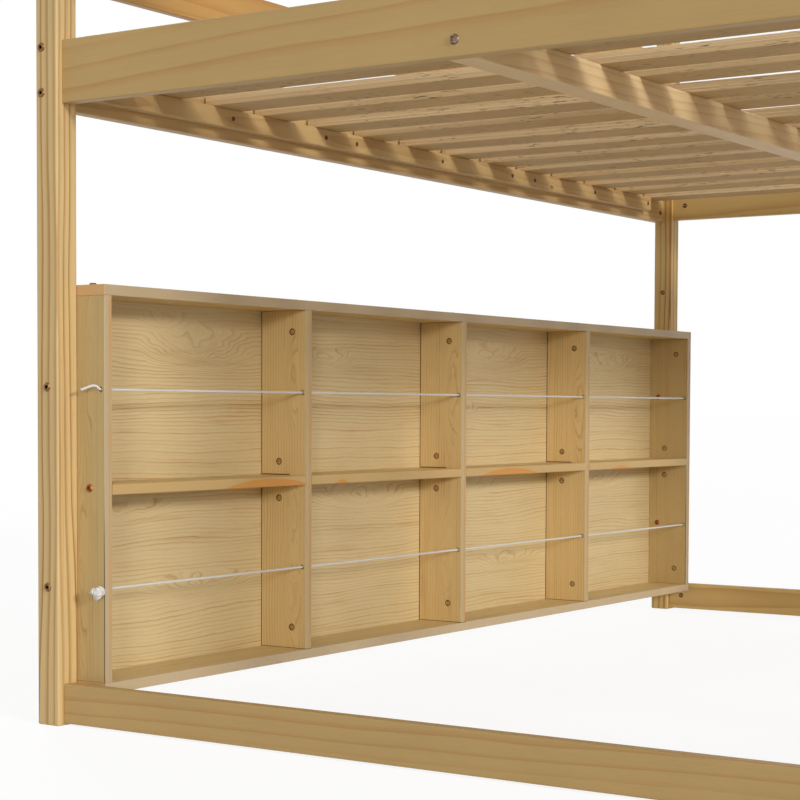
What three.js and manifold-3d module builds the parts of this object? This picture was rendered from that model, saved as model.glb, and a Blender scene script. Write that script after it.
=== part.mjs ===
// A child's half-high loft bed in oiled pine, with a shelf under one long side and a slide and ladder on the
// other. Millimetres, +Z up. +X runs across the bed from the shelf side to the slide side, +Y from the near end
// to the far end. The pieces are placed from the outer corner of the near post on the shelf side, and the whole
// is then centred.

import * as THREE from "three";
import { mergeVertices } from "three/addons/utils/BufferGeometryUtils.js";
import Module from "manifold-3d";

const wasm = await Module();
wasm.setup();

// Mattress and clearances
const mattressLength = 2000;
const mattressWidth = 1400;
const mattressEndClearance = 3;
const seatGap = 0.3;

// Posts
const postSize = 42;
const postHeight = 1345;
const postRound = 3;

// Upper frame: the slats lie at the deck, which the posts rise over for the guards
const guardRise = 389;
const sideRailThickness = 22;
const sideRailHeight = 108;
const sideRailDrop = 47;
const endRailThickness = 20;
const endRailHeight = 92;
const endRailSetback = 11;
const railRound = 2;
const ledgerHeight = 30;
const ledgerThickness = 22;
const ledgerNearGap = 28;
const ledgerFarGap = 109;
const beamSize = 42;
const beamOffset = -5;
const ledgerRound = 1.5;

// Slats: they lie loose, each a little off the even pitch and a little turned, in shares of that pitch
const slatWidth = 74;
const slatThickness = 16;
const slatEndGap = 4;
const firstSlatGap = 15;
const lastSlatGap = 34;
const slatRound = 1;
const slatShiftShares = [0, 0.035, 0.085, -0.03, 0, -0.03, -0.01, 0, -0.01, -0.02, 0, 0, 0, 0];
const slatTurnShares = [0.05, 0, 0.08, 0.02, 0.27, 0.05, 0.5, 0.25, 0, 0, -0.1, 0.1, -0.15, 0.04];

// Foot rails
const footRailHeight = 59;
const footRailClearance = 3;

// Shelf
const shelfDepth = 96;
const shelfBoard = 16;
const shelfBottomHeight = 47;
const shelfMiddleHeight = 341;
const shelfTopHeight = 635;
const shelfBackThickness = 6;
const dividerCount = 3;
const lapDepth = 60;
const lapClearance = 0.5;
const boardRound = 1;
const dowelHoleRadius = 5;
const dowelHoleDepth = 12;
const topDowelSetback = 66;
const topDowelDrop = 36;
const middleDowelSetback = 38.5;
const middleDowelDrop = 23;

// Cords
const cordDiameter = 4;
const cordHoleRadius = 4;
const cordFrontSetback = 9;
const cordUpperHeight = 496.5;
const cordLowerHeight = 202;
const cordKnotRadius = 10;
const cordFarKnotOverlap = 1;
const cordTailPoints = [
  [87, 46, 496.5],
  [87, 42, 497],
  [86, 38.5, 499.5],
  [84, 35.5, 501.8],
  [80.5, 32.3, 502],
  [76.8, 28, 500.3],
  [73.4, 23.5, 498],
  [70.2, 19, 496.1],
];
const cordKnotPlace = [90, -10.5, -4];

// Guards
const guardHeight = 64;
const guardThickness = 16;
const guardSetback = 2;
const guardGapShares = [0.38, 0.4, 0.22];
const guardRound = 2;
const uprightWidth = 70;
const uprightThickness = 22;
const ladderOpening = 440;
const slideOpening = 500;

// Ladder
const ladderWidth = 400;
const ladderNearGap = 18;
const stringerThickness = 28;
const stringerDepth = 95;
const stringerReach = 290;
const stringerContactDrop = 87;
const treadCount = 4;
const treadThickness = 24;
const treadInset = 4;

// Slide
const slideWidth = 460;
const slideFarGap = 20;
const slideSideThickness = 18;
const slideBedThickness = 9;
const slideLipLength = 90;
const slideSlopeDegrees = 34;
const slideRunoutHeight = 150;
const slideRunoutLength = 330;
const slideTopRadius = 160;
const slideFootRadius = 420;
const slideSideRise = 85;
const slideSideDrop = 45;
const slideCorner = 25;
const slideLegWidth = 90;
const cleatHeight = 70;
const cleatThickness = 22;
const footBarHeight = 60;
const footBarThickness = 22;
const footBarSetback = 30;
const arcSteps = 10;

// Sides of the round shapes
const postRoundSteps = 2;
const boardRoundSteps = 1;
const holeSides = 12;
const cutOverrun = 2;
const cordSides = 8;
const knotSides = 12;

// Lines that several pieces share
const innerLength = mattressLength + mattressEndClearance;
const outerLength = innerLength + 2 * postSize;
const outerWidth = mattressWidth + 2 * sideRailThickness;
const nearPostFace = postSize;
const farPostFace = postSize + innerLength;
const slidePostFace = outerWidth - postSize;
const farRailPlace = outerLength - endRailSetback - endRailThickness;
const deckHeight = postHeight - guardRise;
const sideRailBottom = deckHeight - sideRailDrop;
const sideRailTop = sideRailBottom + sideRailHeight;
const beamBottom = deckHeight - beamSize;

// Finishes, as seen in the photograph
const finish = (hex, roughness) => ({ color: hex, roughness, metalness: 0 });
const finishes = {
  post: finish(0xc9ae80, 0.55),
  rail: finish(0xb39b6b, 0.55),
  ledger: finish(0xc4a676, 0.6),
  slat: finish(0xbf9f77, 0.7),
  board: finish(0xb7955c, 0.55),
  panel: finish(0xbea673, 0.6),
  guard: finish(0xcaa263, 0.5),
  ladder: finish(0xc4a674, 0.5),
  slide: finish(0xceb88c, 0.35),
  cord: finish(0xe2dfd8, 0.9),
};

const bed = new THREE.Group();

function add(name, kind, geometry, place = [0, 0, 0]) {
  const mesh = new THREE.Mesh(geometry, new THREE.MeshStandardMaterial(finishes[kind]));
  mesh.name = name;
  mesh.position.set(...place);
  bed.add(mesh);
  return mesh;
}

// Which way a shape's own X, Y and depth run, for pieces that lie along each axis
const axes = {
  x: [new THREE.Vector3(0, 1, 0), new THREE.Vector3(0, 0, 1), new THREE.Vector3(1, 0, 0)],
  y: [new THREE.Vector3(0, 0, 1), new THREE.Vector3(1, 0, 0), new THREE.Vector3(0, 1, 0)],
  z: [new THREE.Vector3(1, 0, 0), new THREE.Vector3(0, 1, 0), new THREE.Vector3(0, 0, 1)],
};

function roundedRectangle(width, height, round) {
  const shape = new THREE.Shape();
  shape.absarc(width - round, round, round, -Math.PI / 2, 0, false);
  shape.absarc(width - round, height - round, round, 0, Math.PI / 2, false);
  shape.absarc(round, height - round, round, Math.PI / 2, Math.PI, false);
  shape.absarc(round, round, round, Math.PI, 1.5 * Math.PI, false);
  return shape;
}

// A straight timber from its low corner: size is its X, Y and Z, its long edges are rounded and its ends eased
function timber(name, kind, low, size, along, round) {
  const order = { x: [1, 2, 0], y: [2, 0, 1], z: [0, 1, 2] }[along];
  const [width, height, length] = order.map((i) => size[i]);
  const ease = round / 2;
  const geometry = new THREE.ExtrudeGeometry(roundedRectangle(width, height, round), {
    depth: length - 2 * ease,
    curveSegments: round < postRound ? boardRoundSteps : postRoundSteps,
    bevelEnabled: true,
    bevelThickness: ease,
    bevelSize: ease,
    bevelOffset: -ease,
    bevelSegments: 1,
  });
  geometry.translate(0, 0, ease);
  geometry.applyMatrix4(new THREE.Matrix4().makeBasis(...axes[along]));
  return add(name, kind, geometry, low);
}

// A board cut to an outline in X and Z, with its thickness along +Y
function uprightBoard(outline, thickness, round) {
  const geometry = new THREE.ExtrudeGeometry(outline, {
    depth: thickness - 2 * round,
    curveSegments: holeSides / 2,
    bevelEnabled: true,
    bevelThickness: round,
    bevelSize: round,
    bevelOffset: -round,
    bevelSegments: 1,
  });
  geometry.translate(0, 0, round);
  const across = new THREE.Vector3(0, -1, 0);
  geometry.applyMatrix4(new THREE.Matrix4().makeBasis(axes.z[0], axes.z[2], across));
  geometry.translate(0, thickness, 0);
  return geometry;
}

function hole(x, y, radius) {
  const path = new THREE.Path();
  path.absarc(x, y, radius, 0, 2 * Math.PI, false);
  return path;
}

const solidOf = (geometry) => {
  const plain = geometry.clone();
  plain.deleteAttribute("normal");
  plain.deleteAttribute("uv");
  const merged = mergeVertices(plain);
  return new wasm.Manifold(
    new wasm.Mesh({
      numProp: 3,
      vertProperties: merged.attributes.position.array,
      triVerts: new Uint32Array(merged.index.array),
    }),
  );
};

const geometryOf = (solid) => {
  const mesh = solid.getMesh();
  const geometry = new THREE.BufferGeometry();
  geometry.setAttribute("position", new THREE.BufferAttribute(mesh.vertProperties, 3));
  geometry.setIndex(new THREE.BufferAttribute(mesh.triVerts, 1));
  return geometry;
};

// Four square posts
function posts() {
  for (const [side, x] of [["shelf", 0], ["slide", slidePostFace]])
    for (const [end, y] of [["near", 0], ["far", farPostFace]])
      timber(`post_${side}_${end}`, "post", [x, y, 0], [postSize, postSize, postHeight], "z", postRound);
}

// Rails between the posts: the end rails stand back from the posts' faces, the side rails are flush
function rails() {
  const endLength = slidePostFace - postSize;
  for (const [end, y] of [["near", endRailSetback], ["far", farRailPlace]]) {
    timber(`rail_end_${end}`, "rail", [postSize, y, beamBottom],
      [endLength, endRailThickness, endRailHeight], "x", railRound);
    timber(`foot_rail_${end}`, "rail", [postSize, y, footRailClearance],
      [endLength, endRailThickness, footRailHeight], "x", railRound);
  }
  for (const [side, x] of [["shelf", 0], ["slide", outerWidth - sideRailThickness]])
    timber(`rail_side_${side}`, "rail", [x, nearPostFace, sideRailBottom],
      [sideRailThickness, innerLength, sideRailHeight], "y", railRound);
}

// Ledgers on the side rails and the beam under the middle, all level at the deck
function slatSupports() {
  const places = [["shelf", sideRailThickness], ["slide", outerWidth - sideRailThickness - ledgerThickness]];
  for (const [side, x] of places)
    timber(`ledger_${side}`, "ledger", [x, nearPostFace + ledgerNearGap, deckHeight - ledgerHeight],
      [ledgerThickness, innerLength - ledgerNearGap - ledgerFarGap, ledgerHeight], "y", ledgerRound);
  const beamStart = endRailSetback + endRailThickness;
  timber("centre_beam", "ledger", [(outerWidth - beamSize) / 2 + beamOffset, beamStart, beamBottom],
    [beamSize, farRailPlace - beamStart, beamSize], "y", ledgerRound);
}

function slats() {
  const pitch = (innerLength - firstSlatGap - lastSlatGap - slatWidth) / (slatShiftShares.length - 1);
  const length = mattressWidth - 2 * slatEndGap;
  slatShiftShares.forEach((share, i) => {
    const slat = timber(`slat_${String(i + 1).padStart(2, "0")}`, "slat",
      [sideRailThickness + slatEndGap, nearPostFace + firstSlatGap + pitch * (i + share), deckHeight],
      [length, slatWidth, slatThickness], "x", slatRound);
    slat.rotation.z = Math.asin((pitch * slatTurnShares[i]) / length);
  });
}

// The bays are equal: a panel's near face for each end panel and divider
const bayPitch = (innerLength - shelfBoard) / (dividerCount + 1);
const panelPlace = (i) => nearPostFace + bayPitch * i;
const cordX = shelfDepth - cordFrontSetback;

// A row of blind bores for cross dowels, at each [x, z], to be taken out of a panel's near or far face
function dowelHoles(places, fromFar) {
  const depth = dowelHoleDepth + cutOverrun;
  const drill = wasm.Manifold.cylinder(depth, dowelHoleRadius, dowelHoleRadius, holeSides).rotate([-90, 0, 0]);
  const start = fromFar ? shelfBoard - dowelHoleDepth : -cutOverrun;
  return wasm.Manifold.union(places.map(([x, z]) => drill.translate([x, start, z])));
}

// An end panel or divider, bored for the cords and the cross dowels, which the near end panel has on its inner
// face and the others on the face towards the near end. A divider is slotted from the back for the middle board.
function shelfPanel(dowelsFar, slotted) {
  const bottom = shelfBottomHeight + shelfBoard;
  const height = shelfTopHeight - bottom;
  const slotLow = shelfMiddleHeight - bottom;
  const outline = new THREE.Shape();
  outline.moveTo(0, 0);
  outline.lineTo(shelfDepth, 0);
  outline.lineTo(shelfDepth, height);
  outline.lineTo(0, height);
  if (slotted) {
    const slotHigh = slotLow + shelfBoard + lapClearance;
    outline.lineTo(0, slotHigh);
    outline.lineTo(lapDepth + lapClearance, slotHigh);
    outline.lineTo(lapDepth + lapClearance, slotLow);
    outline.lineTo(0, slotLow);
  }
  for (const z of [cordUpperHeight, cordLowerHeight])
    outline.holes.push(hole(cordX, z - bottom, cordHoleRadius));
  const dowels = [
    [topDowelSetback, height - topDowelDrop],
    [topDowelSetback, topDowelDrop],
    [middleDowelSetback, slotLow - middleDowelDrop],
    [middleDowelSetback, slotLow + shelfBoard + middleDowelDrop],
  ];
  const board = solidOf(uprightBoard(outline, shelfBoard, boardRound));
  return geometryOf(board.subtract(dowelHoles(dowels, dowelsFar)));
}

// The middle board lies between the end panels, and is notched from the front round each divider
function middleBoard() {
  const outline = new THREE.Shape();
  const notch = lapDepth + lapClearance;
  const nearEnd = shelfBoard + lapClearance;
  const farEnd = innerLength - shelfBoard - lapClearance;
  outline.moveTo(0, nearEnd);
  outline.lineTo(shelfDepth, nearEnd);
  for (let i = 1; i <= dividerCount; i++) {
    const low = bayPitch * i - lapClearance;
    const high = bayPitch * i + shelfBoard + lapClearance;
    outline.lineTo(shelfDepth, low);
    outline.lineTo(notch, low);
    outline.lineTo(notch, high);
    outline.lineTo(shelfDepth, high);
  }
  outline.lineTo(shelfDepth, farEnd);
  outline.lineTo(0, farEnd);
  const geometry = new THREE.ExtrudeGeometry(outline, {
    depth: shelfBoard - 2 * boardRound,
    bevelEnabled: true,
    bevelThickness: boardRound,
    bevelSize: boardRound,
    bevelOffset: -boardRound,
    bevelSegments: 1,
  });
  geometry.translate(0, 0, boardRound);
  return geometry;
}

function shelf() {
  for (const [name, z] of [["bottom", shelfBottomHeight], ["top", shelfTopHeight]])
    timber(`shelf_${name}_board`, "board", [0, nearPostFace, z],
      [shelfDepth, innerLength, shelfBoard], "y", boardRound);
  add("shelf_middle_board", "board", middleBoard(), [0, nearPostFace, shelfMiddleHeight]);
  const names = ["shelf_end_panel_near"];
  for (let i = 1; i <= dividerCount; i++) names.push(`shelf_divider_${i}`);
  names.push("shelf_end_panel_far");
  names.forEach((name, i) => {
    const slotted = i > 0 && i <= dividerCount;
    add(name, "board", shelfPanel(i === 0, slotted), [0, panelPlace(i), shelfBottomHeight + shelfBoard]);
  });
  const seam = shelfMiddleHeight + shelfBoard / 2;
  const top = shelfTopHeight + shelfBoard;
  for (const [name, low, high] of [["lower", shelfBottomHeight, seam], ["upper", seam, top]])
    timber(`shelf_back_${name}`, "panel", [-shelfBackThickness, nearPostFace, low],
      [shelfBackThickness, innerLength, high - low], "y", boardRound);
}

function ball(radius, [x, y, z]) {
  const profile = [];
  for (let i = 0; i <= knotSides / 2; i++) {
    const angle = -Math.PI / 2 + (2 * Math.PI * i) / knotSides;
    profile.push(new THREE.Vector2(radius * Math.cos(angle), radius * Math.sin(angle)));
  }
  const geometry = new THREE.LatheGeometry(profile, knotSides);
  geometry.translate(x, y, z);
  return solidOf(geometry);
}

// A cord's route steps from one chosen point to the next, however far apart they lie
class Route extends THREE.Curve {
  constructor(points) {
    super();
    this.points = points.map((p) => new THREE.Vector3(...p));
  }

  getPoint(t, target = new THREE.Vector3()) {
    const place = t * (this.points.length - 1);
    const i = Math.min(Math.floor(place), this.points.length - 2);
    return target.lerpVectors(this.points[i], this.points[i + 1], place - i);
  }

  getUtoTmapping(u) {
    return u;
  }
}

function tube(points) {
  const section = new THREE.Shape();
  section.absarc(0, 0, cordDiameter / 2, 0, 2 * Math.PI, false);
  return solidOf(new THREE.ExtrudeGeometry(section, {
    steps: points.length - 1,
    curveSegments: cordSides / 2,
    bevelEnabled: false,
    extrudePath: new Route(points),
  }));
}

// Each cord runs through all the panels, and its small knot behind the far one sits in the rim of the hole
function cords() {
  const farFace = panelPlace(dividerCount + 1) + shelfBoard;
  const rim = cordHoleRadius + boardRound;
  const farKnot = rim + cordFarKnotOverlap;
  const knotY = farFace + seatGap + Math.sqrt(farKnot ** 2 - rim ** 2);
  const upperEnd = [cordX, knotY, cordUpperHeight];
  add("cord_upper", "cord", geometryOf(tube([upperEnd, ...cordTailPoints]).add(ball(farKnot, upperEnd))));
  const [knotX, knotOut, knotDrop] = cordKnotPlace;
  const near = [knotX, nearPostFace + knotOut, cordLowerHeight + knotDrop];
  const lowerEnd = [cordX, knotY, cordLowerHeight];
  const lower = tube([lowerEnd, [cordX, nearPostFace, cordLowerHeight], near])
    .add(ball(cordKnotRadius, near))
    .add(ball(farKnot, lowerEnd));
  add("cord_lower", "cord", geometryOf(lower));
}

// Two guard boards over each rail: between the posts, and between two uprights on the slide side.
// The height that they leave free is shared out below, between and above them.
function guards() {
  const free = postHeight - sideRailTop - 2 * guardHeight;
  const lowerPlace = sideRailTop + free * guardGapShares[0];
  const levels = [["lower", lowerPlace], ["upper", lowerPlace + guardHeight + free * guardGapShares[1]]];
  const endLength = slidePostFace - postSize;
  const endSetback = (postSize - guardThickness) / 2;
  const uprightX = outerWidth;
  const ladderUpright = nearPostFace + ladderOpening;
  const slideUpright = farPostFace - slideOpening - uprightWidth;
  for (const [level, z] of levels) {
    timber(`guard_shelf_${level}`, "guard", [guardSetback, nearPostFace, z],
      [guardThickness, innerLength, guardHeight], "y", guardRound);
    timber(`guard_near_${level}`, "guard", [postSize, endSetback, z],
      [endLength, guardThickness, guardHeight], "x", guardRound);
    timber(`guard_far_${level}`, "guard", [postSize, outerLength - endSetback - guardThickness, z],
      [endLength, guardThickness, guardHeight], "x", guardRound);
    timber(`guard_slide_${level}`, "guard", [uprightX - guardThickness, ladderUpright, z],
      [guardThickness, slideUpright + uprightWidth - ladderUpright, guardHeight], "y", guardRound);
  }
  for (const [name, y] of [["ladder", ladderUpright], ["slide", slideUpright]])
    timber(`guard_upright_${name}`, "guard", [uprightX, y, sideRailBottom],
      [uprightThickness, uprightWidth, postHeight - sideRailBottom], "z", railRound);
}

// The ladder leans on the side rail's outer face: its stringers are cut plumb there and level at the floor
function ladder() {
  const contactHeight = sideRailTop - stringerContactDrop;
  const lean = stringerReach / contactHeight;
  const backAt = (z) => stringerReach - lean * z;
  const outline = new THREE.Shape();
  outline.moveTo(backAt(0), 0);
  outline.lineTo(backAt(0) + stringerDepth, 0);
  outline.lineTo(backAt(sideRailTop) + stringerDepth, sideRailTop);
  outline.lineTo(0, sideRailTop);
  outline.lineTo(0, contactHeight);
  const nearY = nearPostFace + ladderNearGap;
  const farY = nearY + ladderWidth - stringerThickness;
  for (const [end, y] of [["near", nearY], ["far", farY]])
    add(`ladder_stringer_${end}`, "ladder", uprightBoard(outline, stringerThickness, railRound),
      [outerWidth, y, 0]);
  const rise = sideRailTop / (treadCount + 1);
  const treadDepth = stringerDepth - 2 * treadInset - lean * treadThickness;
  for (let i = 1; i <= treadCount; i++) {
    const low = rise * i - treadThickness;
    timber(`ladder_tread_${i}`, "ladder",
      [outerWidth + backAt(low) + treadInset, nearY + stringerThickness, low],
      [treadDepth, ladderWidth - 2 * stringerThickness, treadThickness], "y", railRound);
  }
}

// The slide's running line, seen from the side: level over the rail, down the slope, and level at the foot
function slideLine() {
  const slope = THREE.MathUtils.degToRad(slideSlopeDegrees);
  const line = [];
  const arc = (x, z, radius, from, to) => {
    for (let i = 0; i <= arcSteps; i++) {
      const angle = from + ((to - from) * i) / arcSteps;
      line.push([x + radius * Math.sin(angle), z + radius * Math.cos(angle), angle]);
    }
  };
  const topZ = sideRailTop;
  line.push([-sideRailThickness, topZ, 0]);
  line.push([0, topZ, 0]);
  arc(slideLipLength, topZ - slideTopRadius, slideTopRadius, 0, slope);
  const [startX, startZ] = line[line.length - 1];
  const sagitta = slideFootRadius * (1 - Math.cos(slope));
  const fall = startZ - slideRunoutHeight - sagitta;
  const footX = startX + fall / Math.tan(slope) + slideFootRadius * Math.sin(slope);
  for (let i = 0; i <= arcSteps; i++) {
    const angle = slope * (1 - i / arcSteps);
    line.push([footX - slideFootRadius * Math.sin(angle),
      slideRunoutHeight + slideFootRadius * (1 - Math.cos(angle)), angle]);
  }
  line.push([footX + slideRunoutLength, slideRunoutHeight, 0]);
  return line;
}

// The line moved square to itself, up when rise is positive
const offsetLine = (line, rise) => line.map(([x, z, a]) => [x + rise * Math.sin(a), z + rise * Math.cos(a)]);

const slidePath = slideLine();
const slideEnd = slidePath[slidePath.length - 1][0];

function outlineOf(points) {
  const outline = new THREE.Shape();
  outline.moveTo(...points[0]);
  points.slice(1).forEach((p) => outline.lineTo(...p));
  return outline;
}

function slide() {
  const nearY = farPostFace - slideFarGap - slideWidth;
  const bedY = nearY + slideSideThickness;
  const bedWidth = slideWidth - 2 * slideSideThickness;
  const bedLow = slidePath.map(([x, z]) => [x, z]);
  const bed = outlineOf([...bedLow, ...offsetLine(slidePath, slideBedThickness).reverse()]);
  add("slide_bed", "slide", uprightBoard(bed, bedWidth, boardRound), [outerWidth, bedY, 0]);
  const outer = slidePath.slice(1);
  const low = offsetLine(outer, -slideSideDrop).filter(([x]) => x < slideEnd - slideLegWidth);
  const high = offsetLine(outer, slideSideRise);
  const legInner = slideEnd - slideLegWidth;
  const runoutLow = slideRunoutHeight - slideSideDrop;
  const nose = roundedCorner(high[high.length - 1], slideCorner);
  const side = outlineOf([...low, [legInner, runoutLow], [legInner, 0], [slideEnd, 0],
    ...nose, ...high.slice(0, -1).reverse()]);
  for (const [end, y] of [["near", nearY], ["far", nearY + slideWidth - slideSideThickness]])
    add(`slide_side_${end}`, "slide", uprightBoard(side, slideSideThickness, railRound), [outerWidth, y, 0]);
  timber("slide_top_cleat", "slide", [outerWidth, bedY, sideRailTop - cleatHeight],
    [cleatThickness, bedWidth, cleatHeight], "y", railRound);
  timber("slide_foot_bar", "slide",
    [outerWidth + slideEnd - footBarSetback - footBarThickness, bedY, slideRunoutHeight - footBarHeight],
    [footBarThickness, bedWidth, footBarHeight], "y", railRound);
}

// A quarter circle in place of a square outer corner, from the foot of it up and back
function roundedCorner([x, z], radius) {
  const points = [];
  const steps = arcSteps / 2;
  for (let i = 0; i <= steps; i++) {
    const angle = (Math.PI / 2) * (i / steps);
    points.push([x - radius + radius * Math.cos(angle), z - radius + radius * Math.sin(angle)]);
  }
  return points;
}

posts();
rails();
slatSupports();
slats();
shelf();
cords();
guards();
ladder();
slide();

// The origin lies on the floor under the middle of the whole footprint, bed and slide together
bed.position.set(-(outerWidth + slideEnd - shelfBackThickness) / 2, -outerLength / 2, 0);
const group = new THREE.Group();
group.add(bed);

export default group;
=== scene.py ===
"""A child's half-high loft bed in oiled pine, with a low shelf on one side and a ladder and slide on the other.

Lengths are in millimetres from the outer corner of the near post on the shelf side, until spot() turns a
place into the frame's metres. X runs from the shelf side to the slide side, Y from the near end to the far.
"""

import math
import random

import bmesh
import bpy
from mathutils import Matrix, Vector

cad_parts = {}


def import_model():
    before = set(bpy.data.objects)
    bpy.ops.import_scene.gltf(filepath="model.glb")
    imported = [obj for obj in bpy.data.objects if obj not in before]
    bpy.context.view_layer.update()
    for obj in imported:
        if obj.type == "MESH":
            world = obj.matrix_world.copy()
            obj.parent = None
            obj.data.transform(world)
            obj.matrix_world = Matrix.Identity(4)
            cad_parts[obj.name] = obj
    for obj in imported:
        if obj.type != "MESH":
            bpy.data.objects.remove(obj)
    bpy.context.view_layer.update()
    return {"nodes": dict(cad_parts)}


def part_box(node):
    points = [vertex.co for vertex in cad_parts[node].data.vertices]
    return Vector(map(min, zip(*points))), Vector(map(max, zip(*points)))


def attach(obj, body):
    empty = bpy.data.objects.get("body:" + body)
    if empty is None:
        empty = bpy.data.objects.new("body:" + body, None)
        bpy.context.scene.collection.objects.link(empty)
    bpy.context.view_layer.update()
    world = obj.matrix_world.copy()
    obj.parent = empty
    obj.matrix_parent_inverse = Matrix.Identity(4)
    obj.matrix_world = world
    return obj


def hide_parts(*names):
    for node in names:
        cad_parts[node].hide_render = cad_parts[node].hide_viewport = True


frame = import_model()

MM = 0.001
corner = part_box("post_shelf_near")[0]

# Camera, as it stood for the photograph
camera_place = (2010.4, -2050.4, 469.9)
camera_yaw = 34.01
camera_pitch = -2.335
camera_roll = 0.215
photo_pixels = 800
focal_pixels = 1911.3
axis_pixel_x = 388.5
axis_pixel_y = 486.7
sensor_width = 36
clip_distance = 500

# Cords, which run from behind the far end panel to the near one; their lay is one turn of their strands
cord_diameter = 4
cord_lay = 10
cord_sides = 12
path_step = cord_lay / 9
tail_step = cord_lay / 8
cord_x = 87
cord_upper_height = 496.5
cord_lower_height = 202
far_knot_y = 2048.62
near_panel_face = 42
tail_points = [
    (87, 46, 496.5),
    (87, 42, 497),
    (86, 38.5, 499.5),
    (84, 35.5, 501.8),
    (80.5, 32.3, 502),
    (76.8, 28, 500.3),
    (73.4, 23.5, 498),
    (70.2, 19, 496.1),
]
near_knot = (91.5, 31, 198)
near_knot_tail = [(-2, -3, 1), (-5, -6, 2), (-8, -8, 0)]
near_knot_radius = 11.5
far_knot_radius = 6

# A knot's cord and core as shares of its radius, the groove share that gives its core painted shade, and how it
# lies
knot_cord_share = 0.64
knot_core_share = 0.7
knot_core_shade_share = 0.9
knot_steps = 120
knot_turn = Matrix.Rotation(math.radians(35), 3, "Z") @ Matrix.Rotation(math.radians(68), 3, "X")


def spot(x, y, z):
    """A place in millimetres from the near shelf post's outer corner, in the frame's metres."""
    return corner + Vector((x, y, z)) * MM


def make_camera():
    data = bpy.data.cameras.new("camera")
    data.sensor_width = sensor_width
    data.lens = sensor_width * focal_pixels / photo_pixels
    data.shift_x = (photo_pixels / 2 - axis_pixel_x) / photo_pixels
    data.shift_y = (axis_pixel_y - photo_pixels / 2) / photo_pixels
    data.clip_end = clip_distance
    camera = bpy.data.objects.new("camera", data)
    turn = (
        Matrix.Rotation(math.radians(camera_yaw), 4, "Z")
        @ Matrix.Rotation(math.radians(90 + camera_pitch), 4, "X")
        @ Matrix.Rotation(math.radians(camera_roll), 4, "Z")
    )
    camera.matrix_world = Matrix.Translation(spot(*camera_place)) @ turn
    bpy.context.collection.objects.link(camera)
    bpy.context.scene.camera = camera


make_camera()


# Materials: sums on wires add Math nodes, and node() adds any other

# How strongly a surface that isn't metal reflects, on the shader's own socket
specular = 0.3


class Wire:
    """One output of a material's node, which Python's own signs join to others through Math nodes."""

    def __init__(self, finish, socket):
        self.finish = finish
        self.socket = socket

    def math(self, operation, *values):
        inputs = dict(enumerate((self, *values)))
        return self.finish.node("ShaderNodeMath", {"operation": operation}, inputs)

    def __add__(self, other):
        return self.math("ADD", other)

    def __mul__(self, other):
        return self.math("MULTIPLY", other)

    def __sub__(self, other):
        return self.math("SUBTRACT", other)

    def __rsub__(self, other):
        return self * -1 + other

    def __truediv__(self, other):
        return self.math("DIVIDE", other)

    def __pow__(self, other):
        return self.math("POWER", other)

    def __floor__(self):
        return self.math("FLOOR")

    def most(self, other):
        return self.math("MAXIMUM", other)

    def least(self, other):
        return self.math("MINIMUM", other)

    def within(self, low, high):
        """0 below low, 1 above high, and smooth between them; high may be the lower one."""
        inputs = {0: self, 1: low, 2: high, 3: 0, 4: 1}
        settings = {"interpolation_type": "SMOOTHSTEP"}
        return self.finish.node("ShaderNodeMapRange", settings, inputs)


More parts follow.
